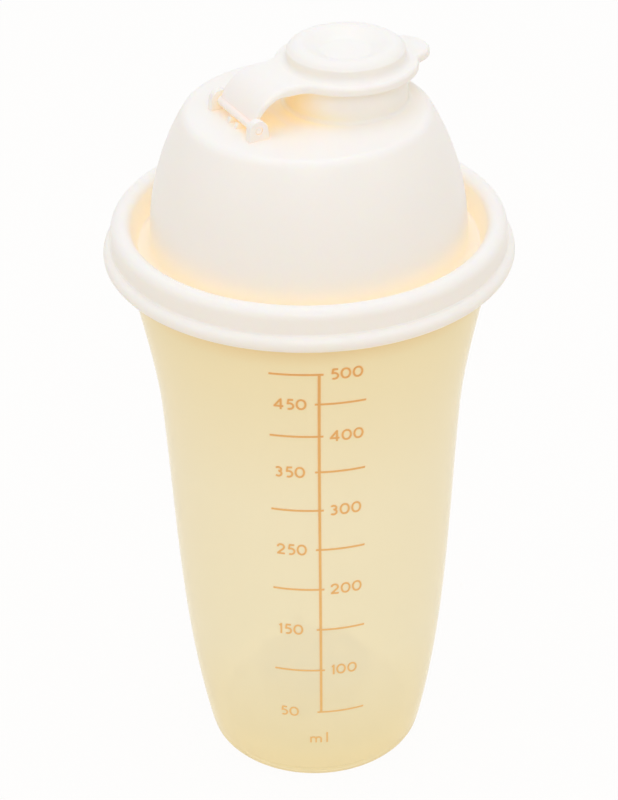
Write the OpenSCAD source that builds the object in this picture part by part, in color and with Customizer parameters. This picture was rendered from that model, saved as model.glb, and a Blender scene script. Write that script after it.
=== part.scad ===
// Shaker jug: a tall flared tumbler with a printed millilitre scale and a loose mixing wheel inside,
// closed by a press-on domed lid with a flip cap over its spout.
// Millimetres, +Z up, the middle of the base at the origin, the front scale facing -Y.

/* [Tumbler] */
// Height of the tumbler to the top of its rim
tumbler_h = 155.5; // [140:0.1:175]
// Outer radius of the foot ring
foot_r = 28.8; // [26:0.1:32]
// Height of the foot ring, up to the small step in the wall
foot_h = 4; // [3.6:0.1:6]
// Radial width of the foot ring where it stands
foot_ring_w = 3.8; // [3.4:0.1:5]
// Rounding of the foot ring's outer edge
foot_round = 3; // [1:0.1:3.2]
// How far the wall steps out above the foot ring
base_step = 0.4; // [0.2:0.1:1]
// Outer radius of the wall at the waist, where the flare starts
waist_r = 38.4; // [35:0.1:41]
// Height of the waist above the table
waist_z = 104.1; // [85:0.1:115]
// Outer radius of the wall at the rim
mouth_r = 47; // [46:0.1:50]
// Outward lean of the wall at the foot, radius per height
base_lean = 0.2115; // [0.1:0.0005:0.3]
// Outward lean of the wall at the waist, radius per height
waist_lean = 0.0675; // [0:0.0005:0.15]
// Outward lean of the wall at the rim, radius per height
mouth_lean = 0.147; // [0.05:0.001:0.25]
// Thickness of the tumbler's wall
wall = 1.6; // [1:0.1:2.2]
// Height of the inner floor above the table
floor_z = 8.6; // [6:0.1:12]
// Thickness of the floor
floor_t = 1.8; // [1.2:0.1:3]
// Rounding between the inner floor and the wall
floor_round = 4; // [1:0.1:6]
// How far the bead round the rim stands out from each face of the wall
rim_bead_over = 0.2; // [0.1:0.05:0.5]

/* [Scale] */
// Millilitres at the lowest mark
first_ml = 50; // [50:50:100]
// Millilitres between marks
step_ml = 50; // [25:25:100]
// Millilitres at the highest mark
last_ml = 500; // [300:50:500]
// Marks at multiples of this many millilitres run left, the others right
left_ml = 100; // [100:50:200]
// Length of a mark that runs left, beyond the upright line
left_mark_l = 12; // [6:0.1:16]
// Length of a mark that runs right, beyond the upright line
right_mark_l = 11.4; // [6:0.1:16]
// Length of the short stub that a mark has on its other side
stub_l = 1; // [0.5:0.1:3]
// Height of a mark's line
mark_w = 0.42; // [0.3:0.01:0.8]
// Width of the upright line
line_w = 0.64; // [0.4:0.01:1]
// Thickness of the ink
ink_t = 0.12; // [0.08:0.01:0.3]
// How far the upright line's faces stay inside those of the marks
line_step = 0.02; // [0.01:0.005:0.03]
// Gap that keeps the ink's back off the wall's face
ink_gap = 0.02; // [0.01:0.01:0.05]

/* [Lid rim] */
// Gap between the lid and the tumbler's rim
seat_gap = 0.3; // [0.2:0.05:0.6]
// Wall thickness of the lid
lid_wall = 1.4; // [1:0.1:2]
// Radius of the rounded top bead
top_bead_r = 2.6; // [2.4:0.05:3]
// Radius of the wider lower bead
low_bead_r = 2; // [1.5:0.05:2.4]
// Height of the lid's outer edge below the top of the tumbler's rim
skirt_drop = 8.7; // [8:0.1:12]
// Depth of the trough's floor below the top of the tumbler's rim
trough_drop = 5.6; // [4.5:0.1:8]
// How far the trough's outer wall leans in towards its floor
trough_lean = 1.2; // [0.6:0.1:1.6]
// Rounding where the trough's floor meets its outer wall
trough_round = 0.5; // [0.3:0.1:1]
// Width of the trough's flat floor
trough_flat = 0.2; // [0.1:0.05:0.6]

/* [Dome] */
// How far the dome's side stands in from the trough's outer wall
dome_inset = 3.3; // [2.8:0.1:4.2]
// Radius of the bow in the dome's side
dome_bow_r = 63; // [58:0.5:90]
// Height of the dome's flat top above the tumbler's rim
dome_rise = 30.3; // [24:0.1:31]
// Rounding of the dome's upper edge
dome_round = 3; // [2.2:0.1:5]
// How far the hinge, spout and cap are turned about the axis
lid_turn = 25; // [0:1:360]

/* [Spout] */
// Distance of the spout's middle from the axis
spout_x = 10.65; // [9:0.05:11.2]
// Outer radius of the spout
spout_r = 15; // [12:0.1:15.4]
// Wall thickness of the spout
spout_wall = 1.6; // [1.2:0.1:2.4]
// Height of the spout above the dome's top
spout_h = 7.95; // [7:0.05:10]
// Rounding at the spout's foot
spout_fillet = 1.1; // [0.4:0.1:1.4]

/* [Cap] */
// Gap between the spout's mouth and the cap's flange
cap_gap = 0.2; // [0.1:0.05:0.5]
// How far the flange reaches past the spout
flange_over = 2.5; // [2.3:0.1:3.2]
// Thickness of the flange
flange_t = 2.2; // [2:0.1:2.6]
// How far the cap's top ring stands in from the spout's outer face
cap_ring_in = 0.7; // [0.4:0.1:1.2]
// Radius of the top ring's bowed shoulder
cap_bow_r = 3.7; // [2.5:0.1:3.8]
// Slope of the shoulder where it meets the cap's side
cap_bow_slope = 55; // [40:1:65]
// Width of the flat part of the ring between the shoulder and the dish
cap_ring_flat = 0.8; // [0.1:0.1:2]
// Height of the cap's upright side below the shoulder
cap_side_h = 1.2; // [1:0.1:3.5]
// Radius of the cove between the cap's side and the flange
cap_cove = 1.5; // [0.6:0.1:1.6]
// Depth of the dish in the cap's top
dish_depth = 2.1; // [1:0.1:2.4]
// Radius of the dish's flat middle
dish_flat_r = 6; // [3:0.1:8]
// Wall thickness of the cap
cap_wall = 1.4; // [1:0.1:1.8]
// Depth of the plug that seals the spout
plug_depth = 2.5; // [1.5:0.1:2.6]
// Gap between the plug's root and the spout's bore
plug_gap = 0.25; // [0.15:0.05:0.5]
// How much the plug narrows towards its end
plug_taper = 1.2; // [1:0.1:2]
// How far the thumb tab reaches past the flange
tab_out = 4.6; // [2:0.1:7]
// Half of the angle that the thumb tab takes up on the flange
tab_half_angle = 23; // [14:1:30]
// Thickness of the thumb tab
tab_t = 1.6; // [1.2:0.1:1.7]
// Height of the undersides of the tab and the strap above that of the flange
tab_lift = 0.3; // [0.2:0.05:0.4]

/* [Hinge] */
// Distance of the hinge pins from the axis
hinge_x = 18.4; // [17.5:0.1:19.5]
// Height of the pins above the dome's top
pin_rise = 2.5; // [2.2:0.05:3]
// Radius of the hinge pins
pin_r = 0.9; // [0.7:0.05:1]
// Clearance between a pin and its hole
pin_clearance = 0.05; // [0.02:0.01:0.09]
// Radius of the bar that carries the pins
bar_r = 1.25; // [1.1:0.05:1.4]
// Width of the strap and the bar
strap_w = 17.6; // [14:0.1:19]
// Thickness of the strap
strap_t = 1.6; // [1.2:0.1:1.7]
// Radius of the strap's inner bend
strap_bend_r = 8.5; // [8:0.1:9.2]
// Gap between the bar's ends and the ears
ear_gap = 0.3; // [0.2:0.05:0.6]
// Thickness of an ear
ear_t = 1.9; // [1.6:0.1:3]
// Radius of an ear's round top
ear_r = 2.4; // [2:0.1:2.5]
// Reach of an ear's foot to each side of the pin
ear_foot = 2.6; // [2.6:0.1:4]
// Width of each small rest below the bar
rest_w = 1.4; // [0.8:0.1:2]
// Reach of each rest to each side of the pin
rest_reach = 2; // [1.8:0.1:2.6]
// Distance of each rest from the middle of the bar
rest_y = 1.9; // [1.5:0.1:5]
// How far the rests reach up at the sides of the bar
rest_hug = 0.25; // [0.1:0.05:0.6]

/* [Mixing wheel] */
// Outer radius of the wheel's ring
wheel_r = 15.5; // [11:0.1:20]
// Height of the wheel
wheel_h = 14; // [8:0.1:20]
// Height of the ring
ring_h = 4; // [2:0.1:6]
// Thickness of the ring
ring_t = 1.6; // [1:0.1:2.5]
// Radius of the hub
hub_r = 3.4; // [2.5:0.1:5]
// Radius of the hole through the hub
hub_hole_r = 1.8; // [1:0.1:2]
// Number of fins
fin_count = 6; // [4:1:8]
// Thickness of a fin
fin_t = 1.4; // [1:0.1:2]
// Slant of the fins
fin_slant = 24; // [0:1:35]
// Gap between the resting wheel and the floor
wheel_gap = 0.2; // [0.1:0.05:0.5]

/* [Hidden] */
$fn = 96;
// Steps along the tumbler's wall, each rounded corner and each long bow
wall_steps = 34;
arc_steps = 8;
bow_steps = 14;
// Slice height with which the tumbler's contents are added up
slice_h = 0.5;
// Overlap that joins the solids of one piece
join = 0.4;
quarter_turn = 90;
half_turn = 180;
full_turn = 360;
mm3_per_ml = 1000;

// Colours
tumbler_colour = [0.93, 0.87, 0.70, 0.75];
ink_colour = [0.92, 0.62, 0.32];
lid_colour = [0.97, 0.95, 0.90];
wheel_colour = [0.93, 0.91, 0.84];

// Tumbler
base_r = foot_r + base_step;
rim_bead_r = wall / 2 + rim_bead_over;
rim_bead_x = mouth_r - wall / 2;
rim_bead_z = tumbler_h - rim_bead_r;

// Scale: distance of the ink's outer face from the wall's face
ink_out = ink_gap + ink_t;

// Lid rim: the channel that the tumbler's rim sits in, and the two beads outside it
channel_in = rim_bead_x - rim_bead_r - seat_gap;
channel_out = rim_bead_x + rim_bead_r + seat_gap;
channel_z = tumbler_h + seat_gap;
rim_top_z = channel_z + lid_wall;
band_r = channel_out + lid_wall;
top_bead_x = band_r - top_bead_r;
top_bead_z = rim_top_z - top_bead_r;
low_bead_z = tumbler_h - skirt_drop + low_bead_r;
trough_z = tumbler_h - trough_drop;
trough_out_r = top_bead_x - top_bead_r - trough_lean;
trough_in_r = trough_out_r - trough_round - trough_flat;
// Outer radius, at its lower end, of the wall that plugs the tumbler's mouth
plug_wall_low_r = trough_out_r + lid_wall;
lid_low_z = trough_z - lid_wall;

// Dome: a bowed side that stands upright at its foot, and a flat top
dome_top_z = tumbler_h + dome_rise;
dome_r = trough_out_r - dome_inset;
dome_fillet = trough_in_r - dome_r;
dome_foot_z = trough_z + dome_fillet;
bow_x = dome_r - dome_bow_r;
edge_z = dome_top_z - dome_round;
edge_x = bow_x + sqrt((dome_bow_r - dome_round) ^ 2 - (edge_z - dome_foot_z) ^ 2);
bow_end = atan2(edge_z - dome_foot_z, edge_x - bow_x);

// Spout and cap
spout_bore_r = spout_r - spout_wall;
spout_foot_r = spout_r + spout_fillet;
spout_top_z = dome_top_z + spout_h;
flange_z = spout_top_z + cap_gap;
flange_r = spout_r + flange_over;
flange_round = flange_t / 2;
flange_top_z = flange_z + flange_t;
cap_edge_z = flange_top_z + cap_cove + cap_side_h;
cap_top_z = cap_edge_z + cap_bow_r * (1 - cos(cap_bow_slope));
cap_ring_r = spout_r - cap_ring_in;
cap_bow_x = cap_ring_r - cap_bow_r * sin(cap_bow_slope);
cap_bow_z = cap_top_z - cap_bow_r;
cap_cove_r = cap_ring_r + cap_cove;
dish_z = cap_top_z - dish_depth;
dish_rim_r = cap_bow_x - cap_ring_flat;
plug_r = spout_bore_r - plug_gap;
plug_z = flange_z - plug_depth;
tab_root_r = flange_r - flange_round;
tab_z = flange_z + tab_lift;
tab_l = flange_r + tab_out - tab_root_r;

// Hinge
pin_z = dome_top_z + pin_rise;
bend_z = tab_z - strap_bend_r;
bend_mid_r = strap_bend_r + strap_t / 2;
bend_end = half_turn - asin((pin_z - bend_z) / bend_mid_r);
bend_x = -hinge_x - bend_mid_r * cos(bend_end);
strap_end_x = spout_x - sqrt(flange_r ^ 2 - (strap_w / 2) ^ 2) + flange_over / 2;
ear_in_y = strap_w / 2 + ear_gap;
ear_out_y = ear_in_y + ear_t;
scoop_r = bar_r + seat_gap;
rest_h = pin_rise - scoop_r + rest_hug;

// Radius of the wall along one span between two heights, with the radius and the lean given at both ends
function span_r(t, h, r0, lean0, r1, lean1) =
    (1 - 3 * t ^ 2 + 2 * t ^ 3) * r0 + (t - 2 * t ^ 2 + t ^ 3) * h * lean0
    + (3 * t ^ 2 - 2 * t ^ 3) * r1 + (t ^ 3 - t ^ 2) * h * lean1;

// Outer radius of the tumbler's wall at a height above the foot
function wall_r(z) =
    let (low_h = waist_z - foot_h, high_h = tumbler_h - waist_z)
    z < waist_z
    ? span_r((z - foot_h) / low_h, low_h, base_r, base_lean, waist_r, waist_lean)
    : span_r((z - waist_z) / high_h, high_h, waist_r, waist_lean, mouth_r, mouth_lean);

// Radius of the tumbler's inside, with the rounding at the floor
function inside_r(z) =
    let (below = max(0, floor_z + floor_round - z))
    wall_r(z) - wall - floor_round + sqrt(floor_round ^ 2 - min(below, floor_round) ^ 2);

// Points on an arc in the plane of a section
function arc(x, z, r, from, to, steps) =
    [for (i = [0:steps]) let (a = from + (to - from) * i / steps) [x + r * cos(a), z + r * sin(a)]];

// Volume below each slice's top, in cubic millimetres, paired with that height
slice_count = ceil((tumbler_h - floor_z) / slice_h);
contents = [
    for (i = 0, v = 0; i <= slice_count;
         v = v + PI * inside_r(floor_z + i * slice_h + slice_h / 2) ^ 2 * slice_h, i = i + 1)
    [v, floor_z + i * slice_h]
];

// Height of the mark for a number of millilitres
function mark_z(ml) = lookup(ml * mm3_per_ml, contents);

// Angle that a length along the wall takes up at a height
function wall_angle(l, z) = l / (wall_r(z) * PI) * half_turn;

// Marks that stay clear below the lid's edge
marks = [for (ml = [first_ml:step_ml:last_ml]) if (mark_z(ml) < tumbler_h - skirt_drop - mark_w) ml];

module tumbler_section() {
    step = (rim_bead_z - foot_h) / wall_steps;
    inner_step = (rim_bead_z - floor_z - floor_round) / wall_steps;
    polygon(concat(
        [[0, floor_z - floor_t], [foot_r - foot_ring_w, floor_z - floor_t], [foot_r - foot_ring_w, 0]],
        arc(foot_r - foot_round, foot_round, foot_round, -quarter_turn, 0, arc_steps),
        [[foot_r, foot_h - base_step]],
        [for (i = [0:wall_steps]) let (z = foot_h + i * step) [wall_r(z), z]],
        [for (i = [wall_steps:-1:1]) let (z = floor_z + floor_round + i * inner_step) [inside_r(z), z]],
        [for (i = [arc_steps:-1:0])
            let (z = floor_z + floor_round * (1 - cos(quarter_turn * i / arc_steps))) [inside_r(z), z]],
        [[0, floor_z]]
    ));
    translate([rim_bead_x, rim_bead_z]) circle(r = rim_bead_r);
}

module tumbler() {
    color(tumbler_colour) rotate_extrude() tumbler_section();
}

// A strip of ink on the wall between two heights, over an angle to both sides, its faces at two distances
module ink_strip(low, high, left, right, near, far, steps) {
    step = (high - low) / steps;
    rotate([0, 0, -left]) rotate_extrude(angle = left + right) polygon(concat(
        [for (i = [0:steps]) let (z = low + i * step) [wall_r(z) + near, z]],
        [for (i = [steps:-1:0]) let (z = low + i * step) [wall_r(z) + far, z]]
    ));
}

// The marks, which run left at even hundreds and right between them, and the thinner upright line
module scale_print(facing) {
    low = mark_z(min(marks));
    high = mark_z(max(marks));
    half_line = wall_angle(line_w, (low + high) / 2) / 2;
    color(ink_colour) rotate([0, 0, facing]) {
        ink_strip(low, high, half_line, half_line, ink_gap + line_step, ink_out - line_step, wall_steps);
        for (ml = marks) {
            z = mark_z(ml);
            leftward = ml % left_ml == 0;
            left = wall_angle(leftward ? left_mark_l : stub_l, z);
            right = wall_angle(leftward ? stub_l : right_mark_l, z);
            ink_strip(z - mark_w / 2, z + mark_w / 2, left, right, ink_gap, ink_out, 1);
        }
    }
}

module front_scale_print() {
    scale_print(-quarter_turn);
}

module back_scale_print() {
    scale_print(quarter_turn);
}

// Half section of the lid without its spout and hinge: rim, trough and dome
module lid_section() {
    polygon(concat(
        // outside, from the lower edge up over the beads
        arc(band_r, low_bead_z, low_bead_r, -quarter_turn, quarter_turn, 2 * arc_steps),
        arc(top_bead_x, top_bead_z, top_bead_r, 0, half_turn, 2 * arc_steps),
        // down into the trough and up the dome
        arc(trough_out_r - trough_round, trough_z + trough_round, trough_round, 0, -quarter_turn, arc_steps),
        arc(trough_in_r, dome_foot_z, dome_fillet, -quarter_turn, -half_turn, arc_steps),
        arc(bow_x, dome_foot_z, dome_bow_r, 0, bow_end, bow_steps),
        arc(edge_x, edge_z, dome_round, bow_end, quarter_turn, arc_steps),
        [[0, dome_top_z], [0, dome_top_z - lid_wall]],
        // underside of the dome and the trough
        arc(edge_x, edge_z, dome_round - lid_wall, quarter_turn, bow_end, arc_steps),
        arc(bow_x, dome_foot_z, dome_bow_r - lid_wall, bow_end, 0, bow_steps),
        [[dome_r - lid_wall, lid_low_z], [plug_wall_low_r, lid_low_z]],
        // the channel over the tumbler's rim
        [[channel_in, rim_bead_z], [channel_in, channel_z], [channel_out, channel_z]],
        [[channel_out, low_bead_z]]
    ));
}

// The spout's wall and the rounding at its foot
module spout_section() {
    polygon(concat(
        [[spout_bore_r, dome_top_z - lid_wall], [spout_foot_r, dome_top_z - lid_wall]],
        arc(spout_foot_r, dome_top_z + spout_fillet, spout_fillet, -quarter_turn, -half_turn, arc_steps),
        [[spout_r, spout_top_z], [spout_bore_r, spout_top_z]]
    ));
}

// Places what it holds with the hinge's plan: +X from the hinge to the spout
module on_lid() {
    rotate([0, 0, lid_turn]) children();
}

// A round bar along the hinge's axis between two distances from the middle
module hinge_rod(r, from, to) {
    translate([-hinge_x, to, pin_z]) rotate([quarter_turn, 0, 0]) cylinder(h = to - from, r = r);
}

// A block across the hinge's axis, from an outline in the plane of the swing
module hinge_plate(from, to) {
    translate([-hinge_x, to, 0]) rotate([quarter_turn, 0, 0]) linear_extrude(to - from) children();
}

// One of the two ears that hold the pins
module ear(from, to) {
    difference() {
        union() {
            hinge_rod(ear_r, from, to);
            hinge_plate(from, to) polygon([
                [-ear_foot, dome_top_z - join], [ear_foot, dome_top_z - join], [ear_foot, dome_top_z],
                [ear_r, pin_z], [-ear_r, pin_z], [-ear_foot, dome_top_z]
            ]);
        }
        hinge_rod(pin_r + pin_clearance, from - join, to + join);
    }
}

// A low rest below the bar, scooped to the bar's round
module bar_rest(from, to) {
    difference() {
        hinge_plate(from, to) polygon([
            [-rest_reach, dome_top_z - join], [rest_reach, dome_top_z - join],
            [rest_reach - rest_h / 2, dome_top_z + rest_h], [-rest_reach + rest_h / 2, dome_top_z + rest_h]
        ]);
        hinge_rod(scoop_r, from - join, to + join);
    }
}

module dome_lid() {
    color(lid_colour) on_lid() {
        difference() {
            rotate_extrude() lid_section();
            translate([spout_x, 0, dome_top_z - lid_wall - join])
                cylinder(h = lid_wall + 2 * join, r = spout_bore_r + join);
        }
        translate([spout_x, 0, 0]) rotate_extrude() spout_section();
        ear(ear_in_y, ear_out_y);
        ear(-ear_out_y, -ear_in_y);
        bar_rest(rest_y - rest_w / 2, rest_y + rest_w / 2);
        bar_rest(-rest_y - rest_w / 2, -rest_y + rest_w / 2);
    }
}

// Half section of the cap about the spout's axis: flange, cove, ring, dish and plug
module cap_section() {
    polygon(concat(
        [[plug_r, flange_z]],
        arc(tab_root_r, flange_z + flange_round, flange_round, -quarter_turn, quarter_turn, 2 * arc_steps),
        arc(cap_cove_r, flange_top_z + cap_cove, cap_cove, -quarter_turn, -half_turn, arc_steps),
        arc(cap_bow_x, cap_bow_z, cap_bow_r, quarter_turn - cap_bow_slope, quarter_turn, arc_steps),
        [[dish_rim_r, cap_top_z], [dish_flat_r, dish_z], [0, dish_z]],
        [[0, dish_z - cap_wall], [dish_flat_r, dish_z - cap_wall], [dish_rim_r, cap_top_z - cap_wall]],
        [[cap_ring_r - cap_wall, cap_edge_z - cap_wall], [plug_r - cap_wall, flange_z]],
        [[plug_r - plug_taper - cap_wall / 2, plug_z], [plug_r - plug_taper, plug_z]]
    ));
}

// Side outline of the strap: level at the flange and bent down to the bar
module strap_section() {
    polygon(concat(
        [[strap_end_x, tab_z]],
        arc(bend_x, bend_z, strap_bend_r, quarter_turn, bend_end, bow_steps),
        arc(bend_x, bend_z, strap_bend_r + strap_t, bend_end, quarter_turn, bow_steps),
        [[strap_end_x, tab_z + strap_t]]
    ));
}

// Plan of the thumb tab about the spout's axis, rounded like a low arch
module tab_plan() {
    steps = 2 * bow_steps;
    polygon(concat(
        [for (i = [0:steps])
            let (t = 2 * i / steps - 1, a = tab_half_angle * t)
            (tab_root_r + tab_l * (1 - t ^ 2)) * [cos(a), sin(a)]],
        [(flange_r - flange_over) * [cos(tab_half_angle), sin(tab_half_angle)]],
        [(flange_r - flange_over) * [cos(tab_half_angle), -sin(tab_half_angle)]]
    ));
}

module flip_cap() {
    color(lid_colour) on_lid() {
        translate([spout_x, 0, 0]) {
            rotate_extrude() cap_section();
            translate([0, 0, tab_z]) linear_extrude(tab_t) tab_plan();
        }
        translate([0, strap_w / 2, 0]) rotate([quarter_turn, 0, 0])
            linear_extrude(strap_w) strap_section();
        hinge_rod(bar_r, -strap_w / 2, strap_w / 2);
        hinge_rod(pin_r, -ear_out_y, ear_out_y);
    }
}

// One slanted fin, trimmed to the wheel's height and ring
module fin(turn) {
    fin_l = wheel_r - ring_t / 2;
    intersection() {
        rotate([0, 0, turn]) translate([(hub_r + hub_hole_r) / 2, 0, wheel_h / 2]) rotate([fin_slant, 0, 0])
            translate([0, -fin_t / 2, -wheel_h]) cube([fin_l, fin_t, 2 * wheel_h]);
        cylinder(h = wheel_h, r = fin_l);
    }
}

module mixing_wheel() {
    color(wheel_colour) translate([0, 0, floor_z + wheel_gap]) {
        difference() {
            cylinder(h = wheel_h, r = hub_r);
            translate([0, 0, -join]) cylinder(h = wheel_h + 2 * join, r = hub_hole_r);
        }
        translate([0, 0, (wheel_h - ring_h) / 2]) difference() {
            cylinder(h = ring_h, r = wheel_r);
            translate([0, 0, -join]) cylinder(h = ring_h + 2 * join, r = wheel_r - ring_t);
        }
        for (i = [0:fin_count - 1]) fin(i * full_turn / fin_count);
    }
}

tumbler();
front_scale_print();
back_scale_print();
dome_lid();
flip_cap();
mixing_wheel();
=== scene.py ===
"""Shaker jug: smooth moulded pieces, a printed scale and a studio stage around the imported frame."""

import math

import bmesh
import bpy
from mathutils import Matrix, Vector


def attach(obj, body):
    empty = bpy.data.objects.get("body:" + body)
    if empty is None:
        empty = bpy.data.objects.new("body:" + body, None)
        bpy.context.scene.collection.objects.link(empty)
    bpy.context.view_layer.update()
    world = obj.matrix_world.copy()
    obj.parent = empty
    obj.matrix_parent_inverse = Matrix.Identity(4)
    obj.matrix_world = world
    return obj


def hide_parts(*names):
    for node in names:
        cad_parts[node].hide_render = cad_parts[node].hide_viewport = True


bl_info = {
    "name": "Shaker jug",
    "version": (1, 0, 0),
    "blender": (4, 5, 0),
    "location": "View3D > Sidebar > Shaker jug",
    "description": "Builds a shaker jug with a printed scale, a domed lid and a flip cap",
    "category": "Add Mesh",
}

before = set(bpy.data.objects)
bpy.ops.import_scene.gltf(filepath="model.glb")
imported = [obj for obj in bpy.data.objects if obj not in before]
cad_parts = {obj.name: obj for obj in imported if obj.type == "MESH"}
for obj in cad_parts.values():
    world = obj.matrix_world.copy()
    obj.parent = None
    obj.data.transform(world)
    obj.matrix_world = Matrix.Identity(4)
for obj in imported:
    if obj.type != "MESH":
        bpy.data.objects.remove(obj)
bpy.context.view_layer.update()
MM = 0.001

# the photograph's height and focal length in pixels, the sensor's width in millimetres, and the camera's
# place and turns in degrees: about the jug, then yaw, pitch and roll
PHOTO_H = 800
FOCAL_PX = 2348.8
SENSOR = 36
CAMERA_TURNS = (-2.55, -0.065, 32.135, -0.845)
CAMERA_PLACE = (0, -0.51369, 0.4256)

# the sky's level and colour at the horizon and overhead, the floor's share of plain white, and the lamps
SKY_LOW, SKY_HIGH = 0.56, 0.96
SKY_TINT, SKY_TOP = (1.0, 0.895, 0.74), (0.95, 0.99, 1.06)
FLOOR_GLOW = 0.94
FLOOR_SIZE = 3.0
LIGHT_BOUNCES = 16
LAMP_AIM = (0, 0, 0.1)
LAMPS = (  # name, place, size and power
    ("left_lamp", (-0.9, -0.5, 0.8), 0.7, 0.65),
    ("right_lamp", (0.9, -0.4, 0.8), 0.7, 0.6),
    ("top_lamp", (0.0, 0.2, 1.2), 0.8, 0.9),
    ("front_lamp", (0.0, -0.9, 1.0), 0.4, 1.5),
)

# how far a hollow is felt, how strongly painted warm shade tints the tumbler's wall below the lid's edge, and
# the place, reach and strength of the painted shade and glow below the strap
HOLLOW_REACH = 9 * MM
EDGE_PAINTED_SHADE = 3.0
POCKET = (-2 * MM, -5 * MM, 187 * MM)
POCKET_R = 17 * MM
POCKET_PAINTED_GLOW = 1.9

# how finely forms are cut, the corners past which a face is a whole outline, how close points meet,
# and the angles past which edges are shaded sharp or get rounded
ROUND_STEPS = 128
WALL_STEPS = 72
WHEEL_STEPS = 72
BAR_STEPS = 48
BEND_CUTS = 20
FLAT_CORNERS = 40
MERGE = 1e-7
EPS = 1e-6
SMOOTH_ANGLE = math.radians(32)
SHARP_ANGLE = math.radians(40)

# the digit height, in millimetres, at which the strokes are drawn, and the place of the unit
DIGIT_GRID = 3.3
UNIT_X, UNIT_Z = -2.75 * MM, 14.85 * MM

# how far ears and rests sink into the dome, small steps in sections, and roundings of edges
SINK = 0.4 * MM
BAND_FOOT = 0.35 * MM
EAR_FOOT = 0.1 * MM
THINNING = 2 * MM
FOOT_EDGE = 0.5 * MM
LIP_EDGE = 0.5 * MM
RING_EDGE = 0.5 * MM
PIN_EDGE = 0.25 * MM
REST_EDGE = 0.2 * MM
HUB_EDGE = 0.4 * MM
WHEEL_EDGE = 0.5 * MM
FIN_EDGE = 0.35 * MM
DISH_SOFT = 3 * MM


def length(name, mm, description):
    """A size in millimetres as a length property."""
    return bpy.props.FloatProperty(
        name=name, description=description, default=mm * MM, unit="LENGTH", subtype="DISTANCE", precision=5)


def ratio(name, value, description):
    """A plain number as a property."""
    return bpy.props.FloatProperty(name=name, description=description, default=value, precision=4)


def turn(name, degrees, description):
    """An angle in degrees as a property."""
    return bpy.props.FloatProperty(
        name=name, description=description, default=math.radians(degrees), unit="ROTATION", subtype="ANGLE")


def paint(name, rgb, description):
    """A linear colour as a property."""
    return bpy.props.FloatVectorProperty(
        name=name, description=description, default=rgb, size=3, min=0.0, max=1.0, subtype="COLOR")


class TumblerSizes(bpy.types.PropertyGroup):
    """Sizes of the tumbler and of the scale on it"""
    height: length("Height", 155.5, "Height to the top of the rim")
    foot_r: length("Foot radius", 28.8, "Outer radius of the foot ring")
    foot_h: length("Foot height", 4, "Height of the foot ring up to the step in the wall")
    foot_ring_w: length("Foot ring width", 3.8, "Radial width of the foot ring where it stands")
    foot_round: length("Foot rounding", 3, "Rounding of the foot ring's outer edge")
    base_step: length("Base step", 0.4, "How far the wall steps out above the foot ring")
    waist_r: length("Waist radius", 38.4, "Outer radius where the flare starts")
    waist_z: length("Waist height", 104.1, "Height where the flare starts")
    mouth_r: length("Mouth radius", 47, "Outer radius at the rim")
    base_lean: ratio("Base lean", 0.2115, "Outward lean at the foot, radius per height")
    waist_lean: ratio("Waist lean", 0.0675, "Outward lean at the waist, radius per height")
    mouth_lean: ratio("Mouth lean", 0.147, "Outward lean at the rim, radius per height")
    wall: length("Wall", 1.6, "Thickness of the wall")
    floor_z: length("Floor height", 8.6, "Height of the inner floor")
    floor_t: length("Floor thickness", 1.8, "Thickness of the floor")
    floor_round: length("Floor rounding", 4, "Rounding between the inner floor and the wall")
    rim_bead_over: length("Rim bead", 0.2, "How far the rim's bead stands out from the wall")
    ink_gap: length("Ink gap", 0.02, "Gap between the ink and the wall")
    ink_t: length("Ink thickness", 0.1, "Thickness of the ink")
    left_mark_l: length("Left marks", 12, "Length of a left mark beyond the upright line")
    right_mark_l: length("Right marks", 11.4, "Length of a right mark beyond the upright line")
    stub_l: length("Stub length", 1.0, "Length of a mark's stub on its other side")
    mark_w: length("Mark width", 0.42, "Height of a mark's line")
    line_w: length("Line width", 0.6, "Width of the upright line")
    digit_h: length("Digit height", 3.3, "Height of the digits")
    stroke: length("Stroke", 0.42, "Width of the digits' strokes")
    digit_right: length("Right digits", 2.6, "Distance of the right digits from the line")
    digit_left: length("Left digits", 10.9, "Distance of the left digits' start from the line")


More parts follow.
